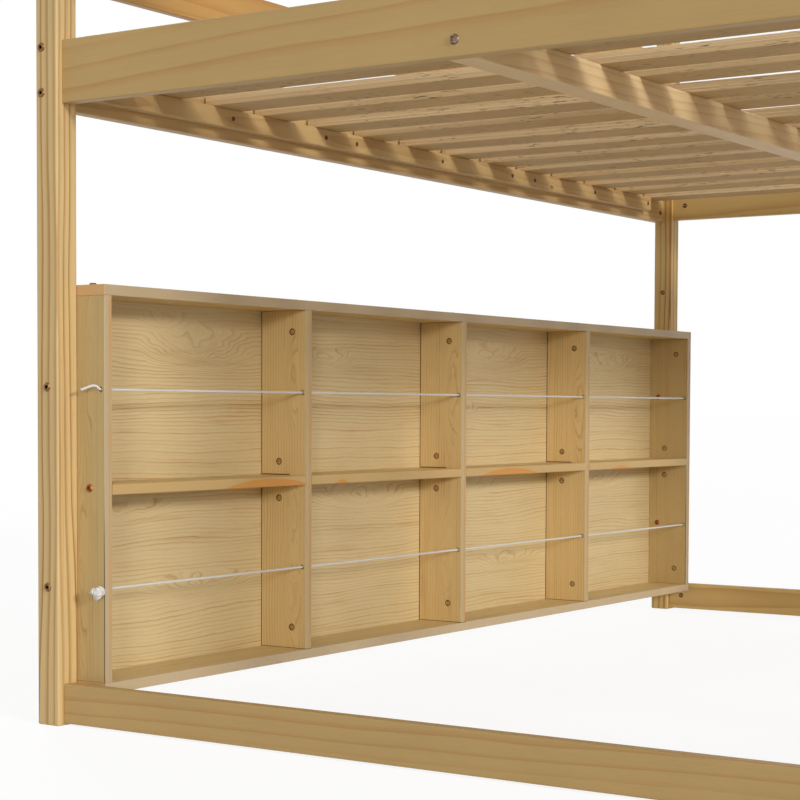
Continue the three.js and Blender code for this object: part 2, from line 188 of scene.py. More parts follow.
class Finish:
    """A material in the making, with its own places on the piece in millimetres."""

    def __init__(self, name):
        self.material = bpy.data.materials.new(name)
        self.material.use_nodes = True
        self.tree = self.material.node_tree
        self.shader = self.tree.nodes["Principled BSDF"]
        self.shader.inputs["Specular IOR Level"].default_value = specular

    def node(self, kind, settings, inputs, output=0):
        """One output of a new node, once its settings and then its sockets have their values or links."""
        made = self.tree.nodes.new(kind)
        for key, value in settings.items():
            if key == "stops":
                self.set_stops(made.color_ramp, value)
            else:
                setattr(made, key, value)
        for key, value in inputs.items():
            self.give(made.inputs[key], value)
        return Wire(self, made.outputs[output])

    def give(self, socket, value):
        if isinstance(value, Wire):
            self.tree.links.new(value.socket, socket)
        else:
            socket.default_value = value

    def set_stops(self, ramp, stops):
        while len(ramp.elements) < len(stops):
            ramp.elements.new(0.5)
        for element, (position, level) in zip(ramp.elements, stops):
            element.position = position
            element.color = (level, level, level, 1)

    def places(self, low):
        """X, Y and Z in millimetres from the given point of the frame."""
        coordinate = self.node("ShaderNodeTexCoord", {}, {}, "Object")
        shifted = self.node("ShaderNodeVectorMath", {"operation": "SUBTRACT"}, {0: coordinate, 1: low})
        scaled = self.node("ShaderNodeVectorMath", {"operation": "SCALE"}, {0: shifted, "Scale": 1 / MM})
        parts = self.node("ShaderNodeSeparateXYZ", {}, {0: scaled})
        return [Wire(self, socket) for socket in parts.socket.node.outputs]

    def cloud(self, x, y, z, detail=1.0):
        """Smooth noise from about -1 to 1, with features about 1 across."""
        vector = self.node("ShaderNodeCombineXYZ", {}, {0: x, 1: y, 2: z})
        noise = self.node("ShaderNodeTexNoise", {}, {"Vector": vector, "Scale": 1, "Detail": detail})
        return noise * 2 - 1

    def chance(self, number):
        """A random value from 0 to 1 for each whole number."""
        settings = {"noise_dimensions": "1D"}
        return self.node("ShaderNodeTexWhiteNoise", settings, {"W": number}, "Value")

    def ramp(self, value, stops):
        return self.node("ShaderNodeValToRGB", {"stops": stops}, {0: value})

    def blend(self, share, first, second, how="MIX"):
        """Two colours mixed; a Mix node's colours are its inputs 6 and 7 and its output 2."""
        settings = {"data_type": "RGBA", "blend_type": how}
        return self.node("ShaderNodeMix", settings, {0: share, 6: first, 7: second}, 2)

    def shaded(self, colour, change):
        """A colour made lighter or darker by a share of itself."""
        return self.blend(1, colour, change + 1, "MULTIPLY")

    def bump(self, height, distance):
        inputs = {"Height": height, "Distance": distance * MM, "Strength": 1}
        self.give(self.shader.inputs["Normal"], self.node("ShaderNodeBump", {}, inputs))

    def set(self, **values):
        """Give the shader's sockets, named in lower case, their values or links."""
        for name, value in values.items():
            self.give(self.shader.inputs[name.replace("_", " ").title()], value)


def tint(red, green, blue):
    """A colour as a screen shows it, from 0 to 255, in the renderer's own linear values."""

    def linear(level):
        share = level / 255
        return share / 12.92 if share < 0.04045 else ((share + 0.055) / 1.055) ** 2.4

    return (linear(red), linear(green), linear(blue), 1)


def grey(level):
    return (level, level, level, 1)


# Pine

# Which of X, Y and Z run across a timber and which one runs along it
axes_for = {"x": (1, 2, 0), "y": (0, 2, 1), "z": (0, 1, 2)}

# How dark a year's ring is from its early wood to its late wood: crisp in the posts, faint in the rails
crisp_ring = [(0, 0.1), (0.1, 0), (0.5, 0.06), (0.7, 0.45), (0.82, 1), (0.93, 0.8), (1, 0.1)]
faint_ring = [(0, 0), (0.55, 0.1), (0.82, 0.7), (0.93, 1), (1, 0)]

# How far the pith sways, how long a knot is for its width, and how far it pushes the rings for its radius
pith_sway = 7
knot_length = 1.35
knot_push = 1.1
knot_wood = tint(136, 90, 46)


def pine(name, along, pith, ring, early, late, low, depth, slant, seed, knots=(), gloss=0.5, profile=faint_ring,
         mottle=0.1):
    """Solid pine: yearly rings round a pith that lies beside the timber, cut wherever a face cuts them.

    pith is where the rings' centre lies across the timber, ring their spacing, and slant how far the pith
    wanders for each millimetre along. A knot is (across, across, along, radius). depth is how dark the late
    wood is, and mottle how uneven the whole timber is.
    """
    finish = Finish(name)
    places = finish.places(low)
    u, v, w = (places[i] for i in axes_for[along])
    sway_u = finish.cloud(u / 110 + seed, v / 110, w / 420) * pith_sway
    sway_v = finish.cloud(u / 110, v / 110 + seed + 7.3, w / 460) * pith_sway
    across_u = u - pith[0] - w * slant[0] + sway_u
    across_v = v - pith[1] - w * slant[1] + sway_v
    unsteady = finish.cloud(u / 14, v / 14, w / 90 + seed) * 0.6
    reach = (across_u * across_u + across_v * across_v) ** 0.5 + unsteady
    mark = None
    for (knot_u, knot_v, knot_w, radius) in knots:
        near_u = u - knot_u
        near_v = v - knot_v
        near_w = (w - knot_w) / knot_length
        off = (near_u * near_u + near_v * near_v + near_w * near_w) ** 0.5 / radius
        reach = reach + off.within(3.4, 0.6) * (radius * knot_push)
        core = off.within(1.15, 0.8)
        mark = core if mark is None else mark.most(core)
    years = reach / ring
    year = math.floor(years)
    force = finish.chance(year + seed)
    width = finish.chance(year + seed + 40)
    share = (years - year) ** (width * 1.1 + 0.55)
    band = finish.ramp(share, profile) * (force * 0.6 + 0.4) * depth
    streak = finish.cloud(u / 4, v / 4, w / 300 + seed, 2)
    colour = finish.blend((band + streak.within(0.05, 0.7) * depth * 0.4).least(1), early, late)
    fibre = finish.cloud(u * 1.6, v * 1.6, w / 28, 2)
    patch = finish.cloud(u / 70, v / 70 + seed, w / 170, 2)
    colour = finish.shaded(colour, fibre * 0.08 + streak * 0.06 + patch * mottle)
    if mark is not None:
        colour = finish.blend(mark * 0.7, colour, knot_wood)
    finish.set(base_color=colour, roughness=band * -0.1 + gloss)
    finish.bump(fibre * 0.5 + band * 0.5, 0.1)
    return finish.material


# Boards faced with printed wood grain

# How dark the print is across one of its lines
print_line = [(0, 0.15), (0.08, 0), (0.6, 0.08), (0.84, 0.55), (0.92, 1), (0.97, 0.7), (1, 0.15)]

# The shelf's own lengths, and places in it from its bottom board's underside, back and near end
front_start = 95
half_panel = 8
divider_pitch = 496.75
# Thin strips painted dark, each (X from, X to, Z from, Z to): painted shade in the gaps where a divider meets the
# back panel and the bottom board and at the top of its lap joint with the middle board, and a thin dark line just
# behind the end panels' front edge
rear_gap = (0, 2, 0, 1200)
foot_gap = (0, 96, 16, 17.4)
lap_gap = (0, 60, 310.5, 312.5)
panel_gap = (94, 95.4, 0, 330)
bore_places = [(66, 52), (66, 552), (38.5, 271), (38.5, 333)]
bore_radius = 5

patch_stain = tint(208, 142, 60)
far_side_stain = tint(206, 152, 88)
far_side_line = tint(140, 104, 68)
# Painted shade in the thin gaps between the shelf's boards
gap_shade_tint = tint(80, 56, 34)
# The bores' dark rims: partly the drill's darkened fibres, partly painted shade of the bore's wall
charred_and_shaded_rim = tint(74, 52, 32)


def figure_lift(finish, along, across, figures):
    """How far ragged, rounded figures lift the print's lines.

    A figure is (place along, place across, half length, half width, lift).
    """
    ragged = finish.cloud(along / 48, across / 20, 3) * 0.3
    total = None
    for (centre_along, centre_across, half_length, half_width, lift) in figures:
        off_along = (along - centre_along) / half_length
        off_across = (across - centre_across) / half_width
        reach = (off_along * off_along + off_across * off_across + 0.01) ** 0.5
        hill = (1 - reach + ragged * (1.3 - reach).most(0)).most(0) * lift
        total = hill if total is None else total + hill
    return total


def banded_front(banding, patches=(), pitch=None):
    """Plain banding on the front edge, with stains.

    A patch is a stained arch: (Y, half length, height of its foot, rise). pitch is how far apart upright
    boards stand whose front edges are warmer along their far side, past a thin dark line.
    """

    def paint(finish, places, colour):
        x, y, z = places
        cloudy = finish.cloud(x / 6, y / 140, z / 140) * 0.05 + finish.cloud(x / 2, y / 3, z / 3) * 0.03
        plain = finish.shaded(banding, cloudy)
        for (middle, half_length, foot, rise) in patches:
            off = (y - middle) / half_length
            arch = off * off * -rise + (rise + foot) + finish.cloud(y / 9, z / 9, 0) * 1.2
            inside = (z - arch).within(0.7, -0.7) * (off * off).within(1.05, 0.95)
            plain = finish.blend(inside * 0.95, plain, patch_stain)
        if pitch is not None:
            across = (y / pitch - math.floor(y / pitch + 0.01)) * pitch
            warmth = finish.cloud(x / 9, y / 200, z / 70).within(-0.5, 0.3) * 0.6 + 0.15
            plain = finish.blend(across.within(9, 10) * warmth, plain, far_side_stain)
            crack = across.within(9.2, 9.6) * across.within(10.4, 10)
            plain = finish.blend(crack * 0.35, plain, far_side_line)
        return finish.blend(x.within(front_start - 0.3, front_start + 0.3), colour, plain)

    return paint


def sawn_end(shade):
    """The sawn end of a board, where its Y is lowest."""

    def paint(finish, places, colour):
        return finish.blend(places[1].within(0.7, 0.3), colour, shade)

    return paint


def shaded_gaps(*joints):
    """Painted shade along thin gaps between boards, each (X from, X to, Z from, Z to) and soft at its last Z."""

    def paint(finish, places, colour):
        x, _, z = places
        for (x_from, x_to, z_from, z_to) in joints:
            across = x.within(x_from - 0.2, x_from) * x.within(x_to + 0.2, x_to)
            upwards = z.within(z_from - 0.2, z_from) * z.within(z_to, z_to - (z_to - z_from) * 0.5)
            colour = finish.blend(across * upwards * 0.85, colour, gap_shade_tint)
        return colour

    return paint


def bore_rims(*spans):
    """Dark rims round the cross dowels' bores, on the faces that lie in the given spans of Y: partly the drilled
    edge's darker fibres, partly painted shade of the bore's wall.
    """

    def paint(finish, places, colour):
        x, y, z = places
        for (y_from, y_to) in spans:
            spanned = y.within(y_from - 1, y_from) * y.within(y_to + 1, y_to)
            for (bore_x, bore_z) in bore_places:
                off = ((x - bore_x) * (x - bore_x) + (z - bore_z) * (z - bore_z)) ** 0.5
                rim = off.within(bore_radius + 1.4, bore_radius + 0.6)
                colour = finish.blend(spanned * rim * 0.85, colour, charred_and_shaded_rim)
        return colour

    return paint


def printed_board(name, along, low, early, late, wave, line, sway, seed=0, gloss=0.45, figures=(), details=()):
    """Fine wavy lines along the board that part round figures.

    wave is the lines' spacing, line how dark they are, and sway how many spacings they wander. Each of
    details paints its part of the board over the print, in turn.
    """
    finish = Finish(name)
    places = finish.places(low)
    u, v, w = (places[i] for i in axes_for[along])
    broad = finish.cloud(u / 90, v / 90 + seed, w / 380)
    middle = finish.cloud(u / 24, v / 24 + seed, w / 90)
    small = finish.cloud(u / 5, v / 5 + seed, w / 22)
    height = (u + v) / wave + broad * sway + middle * 0.45 + small * 0.12
    if figures:
        height = height + figure_lift(finish, w, v if along == "y" else u + v, figures)
    number = math.floor(height)
    grain = finish.ramp(height - number, print_line) * (finish.chance(number + seed) * 0.85 + 0.25)
    finer = height * 2.7 + small * 0.2
    number = math.floor(finer)
    grain = grain + finish.ramp(finer - number, print_line) * finish.chance(number + seed) * 0.45
    faint = finish.cloud(u / 40 + seed, v / 40, w / 110) * 0.6 + 0.8
    smudge = finish.cloud(u / 30, v / 14 + seed, w / 200, 2).within(0.05, 0.6)
    colour = finish.blend((grain * faint * line + smudge * 0.22).least(1), early, late)
    fibre = finish.cloud(u * 0.9, v * 0.9, w / 16, 2)
    colour = finish.shaded(colour, fibre * 0.08 + broad * 0.06)
    for paint in details:
        colour = paint(finish, places, colour)
    finish.set(base_color=colour, roughness=grain * 0.08 + gloss)
    finish.bump(fibre * 0.4 - grain * 0.5, 0.04)
    return finish.material


# Slats of laminated veneer

slat_pitch = 144.6
ply_thickness = 2

# How much glue shows across a ply
glue_line = [(0, 1), (0.16, 0), (0.84, 0), (1, 1)]

pale_ply, warm_ply = tint(236, 211, 170), tint(206, 174, 126)
glue_shade = tint(150, 110, 68)
warm_slat = tint(206, 172, 112)
lowest_ply = tint(198, 164, 108)
void_shade = tint(74, 48, 32)


def veneer(name, low):
    """Thin plies that lie level, so the slats' long edges show layers and dark little voids.

    Each slat has its own tone by its place along the bed, and its lowest ply is darker.
    """
    finish = Finish(name)
    x, y, z = finish.places(low)
    slat = math.floor(y / slat_pitch + 0.15)
    own = finish.chance(slat + 3)
    ply = z / ply_thickness + finish.cloud(x / 260, y / 150, 0) * 0.25
    layer = math.floor(ply)
    tone = finish.chance(layer + slat * 17)
    glue = finish.ramp(ply - layer, glue_line)
    colour = finish.blend(tone * 0.8, pale_ply, warm_ply)
    colour = finish.blend(glue * 0.5, colour, glue_shade)
    colour = finish.blend(own * 0.3, colour, warm_slat)
    colour = finish.blend(z.within(0.7, 0.3) * 0.7, colour, lowest_ply)
    streak = finish.cloud(x / 160, y / 6, z / 2.2, 3)
    fleck = finish.cloud(x / 26, y / 3, z / 1.3 + slat)
    cluster = finish.cloud(x / 90, y / 60, slat * 0.7).within(-0.25, 0.3)
    hollow = fleck.within(0.26, 0.34) * cluster
    colour = finish.shaded(colour, streak * 0.16 + own * 0.1 - 0.05)
    colour = finish.blend(hollow * 0.8, colour, void_shade)
    finish.set(base_color=colour, roughness=0.7)
    finish.bump(streak * 0.4 - hollow * 1.2 - glue * 0.3, 0.15)
    return finish.material


# Which finish each node has


def dress(material, *nodes):
    for node in nodes:
        slots = frame["nodes"][node].data.materials
        if slots:
            slots[0] = material
        else:
            slots.append(material)


def low_of(node):
    return tuple(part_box(node)[0])


def nodes_of(start):
    return [name for name in frame["nodes"] if name.startswith(start)]


# Early and late wood of the pine's kinds
cream, amber = tint(216, 187, 131), tint(164, 101, 40)
wheat, ochre = tint(217, 184, 118), tint(168, 112, 52)
khaki, straw = tint(194, 162, 106), tint(176, 122, 66)
peach, honey = tint(204, 171, 116), tint(176, 128, 74)
blond, biscuit = tint(233, 203, 153), tint(202, 156, 100)
tan, toffee = tint(201, 156, 88), tint(176, 114, 52)


# How the grain runs in the guards, the ladder and the slide
plain_pith = (-26, 34)
plain_slant = (0.01, 0.015)


def dress_pine(node, along, pith, ring, wood, **more):
    """Cut one node from pine of its own; wood is its early and its late wood."""
    dress(pine(f"{node}_pine", along, pith, ring, *wood, low_of(node), **more), node)


def dress_posts():
    for i, (side, end) in enumerate((("shelf", "near"), ("shelf", "far"), ("slide", "near"), ("slide", "far"))):
        wood = (wheat, ochre) if end == "far" else (cream, amber)
        knots = [] if i == 0 else [(-1, 20, 420 + 170 * i, 5)]
        dress_pine(f"post_{side}_{end}", "z", pith=(-30, 70), ring=8, wood=wood, depth=1, slant=(0.004, -0.003),
                   seed=3.1 * i + 1, knots=knots, profile=crisp_ring)


def dress_rails():
    for i, (node, early, pith, ring, slant) in enumerate((
        ("rail_end_near", khaki, (48, -30), 24, (0.01, 0.05)),
        ("rail_end_far", wheat, (60, 40), 14, (0.006, 0.012)),
        ("foot_rail_near", khaki, (64, 90), 14, (0.006, 0.012)),
        ("foot_rail_far", wheat, (52, 30), 14, (0.006, 0.012)),
    )):
        dress_pine(node, "x", pith, ring, (early, straw), depth=0.52, slant=slant, seed=5.7 * i, mottle=0.09)
    for i, side in enumerate(("shelf", "slide")):
        dress_pine(f"rail_side_{side}", "y", pith=(-30, 30), ring=9, wood=(peach, honey), depth=0.6,
                   slant=(0.01, 0.02), seed=4.3 * i)
        dress_pine(f"ledger_{side}", "y", pith=(-20, 12), ring=6, wood=(peach, honey), depth=0.7,
                   slant=(0.008, 0.012), seed=8.1 * i + 2, knots=[(22, 8, 1400, 4.5)])
    dress_pine("centre_beam", "y", pith=(-34, -30), ring=8, wood=(blond, biscuit), depth=0.6,
               slant=(0.012, 0.01), seed=21, knots=[(52, -4, 560, 7), (54, -5, 780, 6)])


def dress_guards():
    for i, node in enumerate(nodes_of("guard_")):
        along = "z" if "upright" in node else "x" if "near" in node or "far" in node else "y"
        dress_pine(node, along, plain_pith, ring=11, wood=(tan, toffee), depth=0.6, slant=plain_slant,
                   seed=2.9 * i, knots=[(14, 30, 500 + 60 * i, 5)], gloss=0.42)


def dress_ladder_and_slide():
    for i, node in enumerate(nodes_of("ladder_")):
        along = "y" if "tread" in node else "z"
        dress_pine(node, along, plain_pith, ring=8, wood=(cream, amber), depth=0.55, slant=plain_slant,
                   seed=2.3 * i, gloss=0.45)
    for i, node in enumerate(nodes_of("slide_")):
        along = "y" if "cleat" in node or "bar" in node else "x"
        dress_pine(node, along, plain_pith, ring=12, wood=(cream, amber), depth=0.4, slant=plain_slant,
                   seed=2.1 * i, gloss=0.32)


print_early, print_late = tint(214, 184, 126), tint(166, 112, 54)
divider_figures = [
    (245, 562, 70, 15, 4.5), (105, 558, 120, 24, 5.5), (470, 560, 90, 18, 4), (450, 1062, 130, 22, 5),
    (140, 1050, 120, 20, 4.5), (420, 1560, 120, 22, 5),
]
end_panel_figures = [(180, 44, 170, 18, 3.8), (500, 60, 150, 16, 3.4)]
back_figures = [
    (330, 520, 150, 44, 7), (250, 560, 70, 20, 4), (690, 508, 90, 26, 6), (800, 262, 150, 30, 6.5),
    (330, 132, 150, 26, 5.5), (1240, 520, 170, 40, 7), (1700, 262, 160, 30, 6.5), (1330, 110, 130, 24, 5),
    (1130, 420, 90, 20, 4.5), (1780, 520, 140, 34, 6), (150, 262, 120, 22, 4.5), (1180, 268, 120, 20, 4.5),
]
middle_board_patches = [(378, 120, -1, 15), (1160, 122, -2, 15), (1640, 60, -3, 9), (585, 22, -2, 9)]


def dress_uprights():
    low = low_of("shelf_bottom_board")
    near_faces = [(divider_pitch * i, divider_pitch * i + half_panel) for i in (1, 2, 3)]
    dividers = printed_board(
        "shelf_divider_print", "z", low, tint(219, 190, 132), print_late, wave=6, line=0.62, sway=0.8,
        figures=divider_figures,
        details=[
            banded_front(tint(192, 168, 126), pitch=divider_pitch),
            # Painted shade in the gaps at the divider's back, its lap and its foot
            shaded_gaps(rear_gap, lap_gap, foot_gap),
            bore_rims(*near_faces),
        ],
    )
    dress(dividers, *nodes_of("shelf_divider"))
    end_pitch = 4 * divider_pitch
    end_panels = printed_board(
        "shelf_end_print", "z", low, tint(199, 173, 119), tint(158, 110, 54), wave=5.5, line=0.55, sway=0.7,
        seed=5, figures=end_panel_figures,
        details=[
            banded_front(tint(191, 169, 132), pitch=end_pitch),
            shaded_gaps(panel_gap),
            bore_rims((half_panel, end_pitch + half_panel)),
        ],
    )
    dress(end_panels, *nodes_of("shelf_end_panel"))


def dress_boards():
    for i, (level, early, banding, patches) in enumerate((
        ("bottom", tint(220, 196, 142), tint(200, 177, 140), ()),
        ("middle", print_early, tint(198, 165, 107), middle_board_patches),
        ("top", print_early, tint(190, 167, 131), ()),
    )):
        node = f"shelf_{level}_board"
        board = printed_board(
            f"{node}_print", "y", low_of(node), early, print_late, wave=7, line=0.5, sway=1.4, seed=3 + i,
            gloss=0.4, details=[banded_front(banding, patches), sawn_end(tint(212, 170, 118))],
        )
        dress(board, node)
    back = printed_board(
        "shelf_back_print", "y", low_of("shelf_back_lower"), tint(217, 196, 148), tint(182, 128, 62),
        wave=6.5, line=0.85, sway=2.4, seed=11, figures=back_figures,
    )
    dress(back, *nodes_of("shelf_back"))


dress_posts()
dress_rails()
dress_guards()
dress_ladder_and_slide()
dress_uprights()
dress_boards()
dress(veneer("slat_veneer", low_of("slat_01")), *nodes_of("slat_"))


# Cords


def smooth_path(points, step):
    """Points a step apart along a curve through the given ones."""
    guides = [points[0], *points, points[-1]]
    made = []
    for i in range(1, len(guides) - 2):
        a, b, c, d = (Vector(p) for p in guides[i - 1:i + 3])
        count = max(1, round((c - b).length / step))
        for k in range(count):
            t = k / count
            made.append(0.5 * (2 * b + (c - a) * t + (2 * a - 5 * b + 4 * c - d) * t ** 2
                               + (3 * b - a - 3 * c + d) * t ** 3))
    made.append(Vector(points[-1]))
    return made


def straight_path(start, end, step):
    """Points a step apart from start up to, but not at, end."""
    start, end = Vector(start), Vector(end)
    count = round((end - start).length / step)
    return [start.lerp(end, k / count) for k in range(count)]


def laid_reach(angle):
    """How far a three-strand cord's surface lies from its middle, as a share of its radius."""
    return 0.74 + 0.26 * abs(math.cos(1.5 * angle)) ** 0.7


def rope_rings(mesh, points, diameter):
    """A cord of three strands laid round each other, as one closed skin along points, all in metres."""
    # groove holds how far out each point of the skin lies, which the cotton turns into painted shade in the
    # grooves between strands
    groove = mesh.verts.layers.float.get("groove") or mesh.verts.layers.float.new("groove")
    rings = []
    along = 0
    side = (points[1] - points[0]).orthogonal()
    for i, point in enumerate(points):
        ahead = (points[min(i + 1, len(points) - 1)] - points[max(i - 1, 0)]).normalized()
        side = (side - ahead * side.dot(ahead)).normalized()
        other = ahead.cross(side)
        if i:
            along += (point - points[i - 1]).length
        turn = 2 * math.pi * along / (cord_lay * MM)
        ring = []
        for k in range(cord_sides):
            angle = 2 * math.pi * k / cord_sides
            share = laid_reach(angle - turn)
            reach = share * diameter / 2
            ring.append(mesh.verts.new(point + (side * math.cos(angle) + other * math.sin(angle)) * reach))
            ring[-1][groove] = share
        rings.append(ring)
    for first, second in zip(rings, rings[1:]):
        for k in range(cord_sides):
            n = (k + 1) % cord_sides
            mesh.faces.new((first[k], first[n], second[n], second[k]))
    mesh.faces.new(reversed(rings[0]))
    mesh.faces.new(rings[-1])


def finished_mesh(name, mesh):
    bmesh.ops.recalc_face_normals(mesh, faces=mesh.faces)
    data = bpy.data.meshes.new(name)
    mesh.to_mesh(data)
    mesh.free()
    data.shade_smooth()
    return data


def cotton():
    finish = Finish("cord_cotton")
    x, y, z = finish.places(tuple(corner))
    fuzz = finish.cloud(x * 1.3, y * 1.3, z * 1.3, 2)
    groove = finish.node("ShaderNodeAttribute", {"attribute_name": "groove"}, {}, "Fac")
    colour = finish.blend(fuzz.within(-0.3, 0.4), tint(230, 227, 220), tint(250, 249, 245))
    # Painted shade in the grooves between the strands and on the knot's packed core
    colour = finish.blend(groove.within(0.98, 0.78) * 0.7, colour, tint(120, 112, 104))
    finish.set(base_color=colour, roughness=0.9)
    finish.bump(fuzz, 0.15)
    return finish.material


def add_piece(name, data, material):
    piece = bpy.data.objects.new(name, data)
    bpy.context.collection.objects.link(piece)
    data.materials.append(material)
    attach(piece, "root")
    return piece


def overhand_line(centre, radius, thickness):
    """The closed run of a cord in an overhand knot drawn tight, as far as its outside shows."""
    reach = (radius - thickness / 2) / 3
    line = []
    for i in range(knot_steps + 1):
        t = 2 * math.pi * i / knot_steps
        x = math.sin(t) + 2 * math.sin(2 * t)
        y = math.cos(t) - 2 * math.cos(2 * t)
        z = -1.7 * math.sin(3 * t)
        line.append(spot(*centre) + knot_turn @ Vector((x, y, z)) * reach * MM)
    return line


def knot_piece(name, centre, radius, material, tail=None):
    """A stopper knot: the cord's overhand run round a packed core, and its short end where that shows."""
    mesh = bmesh.new()
    thickness = radius * knot_cord_share
    rope_rings(mesh, overhand_line(centre, radius, thickness), thickness * MM)
    core = bmesh.ops.create_icosphere(mesh, subdivisions=3, radius=radius * knot_core_share * MM,
                                      matrix=Matrix.Translation(spot(*centre)))
    # The core counts as lying deep in a groove, so the cotton paints shade on it
    groove = mesh.verts.layers.float.get("groove")
    for vertex in core["verts"]:
        vertex[groove] = knot_core_shade_share
    if tail:
        line = [spot(*(Vector(centre) + Vector(p))) for p in smooth_path(tail, tail_step)]
        rope_rings(mesh, line, cord_diameter * MM)
    return add_piece(name, finished_mesh(name, mesh), material)


def cords():
    white = cotton()
    upper_start = (cord_x, far_knot_y, cord_upper_height)
    lower_start = (cord_x, far_knot_y, cord_lower_height)
    lower_end = (cord_x, near_panel_face, cord_lower_height)
    upper_line = straight_path(upper_start, tail_points[0], path_step) + smooth_path(tail_points, path_step)
    lower_line = straight_path(lower_start, lower_end, path_step) + smooth_path([lower_end, near_knot], path_step)
    for name, line, height, node, end in (
        ("cord_upper_rope", upper_line, cord_upper_height, "cord_upper", "bare"),
        ("cord_lower_rope", lower_line, cord_lower_height, "cord_lower", "knot"),
    ):
        path = [spot(*p) for p in line]
        mesh = bmesh.new()
        rope_rings(mesh, path, cord_diameter * MM)
        rope = add_piece(name, finished_mesh(name, mesh), white)
        knots = [knot_piece(f"{name}_far_knot", (cord_x, far_knot_y, height), far_knot_radius, white)]
        if end == "knot":
            knots.append(knot_piece(f"{name}_near_knot", near_knot, near_knot_radius, white, near_knot_tail))
        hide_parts(node)


cords()


# Screws, bolts and cross dowels: one head per seat, set by a tree of geometry nodes

head_sides = 18

# What a head's tree is given, in millimetres apart from the crown, which is its top's share of its radius.
# These are the sizes of a head whose own kind doesn't say.
inputs_of_head = {
    "Head Radius": 5,
    "Head Height": 3,
    "Crown": 0.7,
    "Sunk": 0.6,
    "Recess Width": 3,
    "Recess Length": 3,
    "Recess Depth": 2.5,
}


class Plan:
    """A tree of geometry nodes in the making."""

    def __init__(self, name):
        self.tree = bpy.data.node_groups.new(name, "GeometryNodeTree")
        self.tree.interface.new_socket("Geometry", in_out="INPUT", socket_type="NodeSocketGeometry")
        for key in inputs_of_head:
            self.tree.interface.new_socket(key, in_out="INPUT", socket_type="NodeSocketFloat")
        self.tree.interface.new_socket("Material", in_out="INPUT", socket_type="NodeSocketMaterial")
        self.tree.interface.new_socket("Geometry", in_out="OUTPUT", socket_type="NodeSocketGeometry")
        self.given = self.tree.nodes.new("NodeGroupInput").outputs
        self.result = self.tree.nodes.new("NodeGroupOutput")

    def node(self, kind, settings, inputs, output=0):
        made = self.tree.nodes.new(kind)
        for key, value in settings.items():
            setattr(made, key, value)
        for key, value in inputs.items():
            if isinstance(value, bpy.types.NodeSocket):
                self.tree.links.new(value, made.inputs[key])
            else:
                made.inputs[key].default_value = value
        return made.outputs[output]

    def times(self, first, second):
        return self.node("ShaderNodeMath", {"operation": "MULTIPLY"}, {0: first, 1: second})

    def vector(self, x, y, z):
        return self.node("ShaderNodeCombineXYZ", {}, {0: x, 1: y, 2: z})


def head_plan(name, recess):
    """A turned head on each seat, with a hexagon, slot or cross cut into it, facing as its seat says."""
    plan = Plan(name)
    given = plan.given
    radius, height = given["Head Radius"], given["Head Height"]
    head = plan.node("GeometryNodeMeshCone", {}, {
        "Vertices": head_sides, "Radius Top": plan.times(radius, given["Crown"]), "Radius Bottom": radius,
        "Depth": height,
    })
    sunk = plan.times(given["Sunk"], -1)
    head = plan.node("GeometryNodeTransform", {}, {"Geometry": head, "Translation": plan.vector(0, 0, sunk)})
    if recess == "hexagon":
        cut = plan.node("GeometryNodeMeshCylinder", {}, {
            "Vertices": 6, "Radius": given["Recess Width"], "Depth": plan.times(given["Recess Depth"], 2),
        })
    else:
        size = plan.vector(given["Recess Length"], given["Recess Width"], plan.times(given["Recess Depth"], 2))
        cut = plan.node("GeometryNodeMeshCube", {}, {"Size": size})
    if recess == "cross":
        other = plan.node("GeometryNodeTransform", {}, {"Geometry": cut, "Rotation": (0, 0, math.pi / 2)})
        cut = plan.node("GeometryNodeMeshBoolean", {"operation": "UNION", "solver": "EXACT"}, {1: cut})
        plan.tree.links.new(other, cut.node.inputs[1])
    rise = plan.node("ShaderNodeMath", {"operation": "ADD"}, {0: height, 1: sunk})
    cut = plan.node("GeometryNodeTransform", {}, {"Geometry": cut, "Translation": plan.vector(0, 0, rise)})
    head = plan.node("GeometryNodeMeshBoolean", {"operation": "DIFFERENCE", "solver": "EXACT"}, {0: head, 1: cut})
    facing = plan.node("GeometryNodeInputNamedAttribute", {"data_type": "FLOAT_VECTOR"}, {0: "facing"})
    spin = plan.node("GeometryNodeInputNamedAttribute", {"data_type": "FLOAT"}, {0: "spin"})
    turned = plan.node("FunctionNodeEulerToRotation", {}, {0: plan.vector(0, 0, spin)})
    aimed = plan.node("FunctionNodeAlignRotationToVector", {"axis": "Z"}, {"Vector": facing})
    rotation = plan.node("FunctionNodeRotateRotation", {"rotation_space": "LOCAL"}, {0: aimed, 1: turned})
    placed = plan.node("GeometryNodeInstanceOnPoints", {}, {
        "Points": given["Geometry"], "Instance": head, "Rotation": rotation,
    })
    real = plan.node("GeometryNodeRealizeInstances", {}, {0: placed})
    coated = plan.node("GeometryNodeSetMaterial", {}, {"Geometry": real, "Material": given["Material"]})
    plan.tree.links.new(coated, plan.result.inputs[0])
    return plan.tree


def metal(name, bright, dull, roughness, plated=0.85):
    """Plated steel, a little uneven; plated is how much of it shines as metal does."""
    finish = Finish(name)
    x, y, z = finish.places(tuple(corner))
    worn = finish.cloud(x / 1.5, y / 1.5, z / 1.5, 2)
    finish.set(base_color=finish.blend(worn.within(-0.5, 0.5), dull, bright), metallic=plated,
               roughness=worn * 0.08 + roughness)
    return finish.material


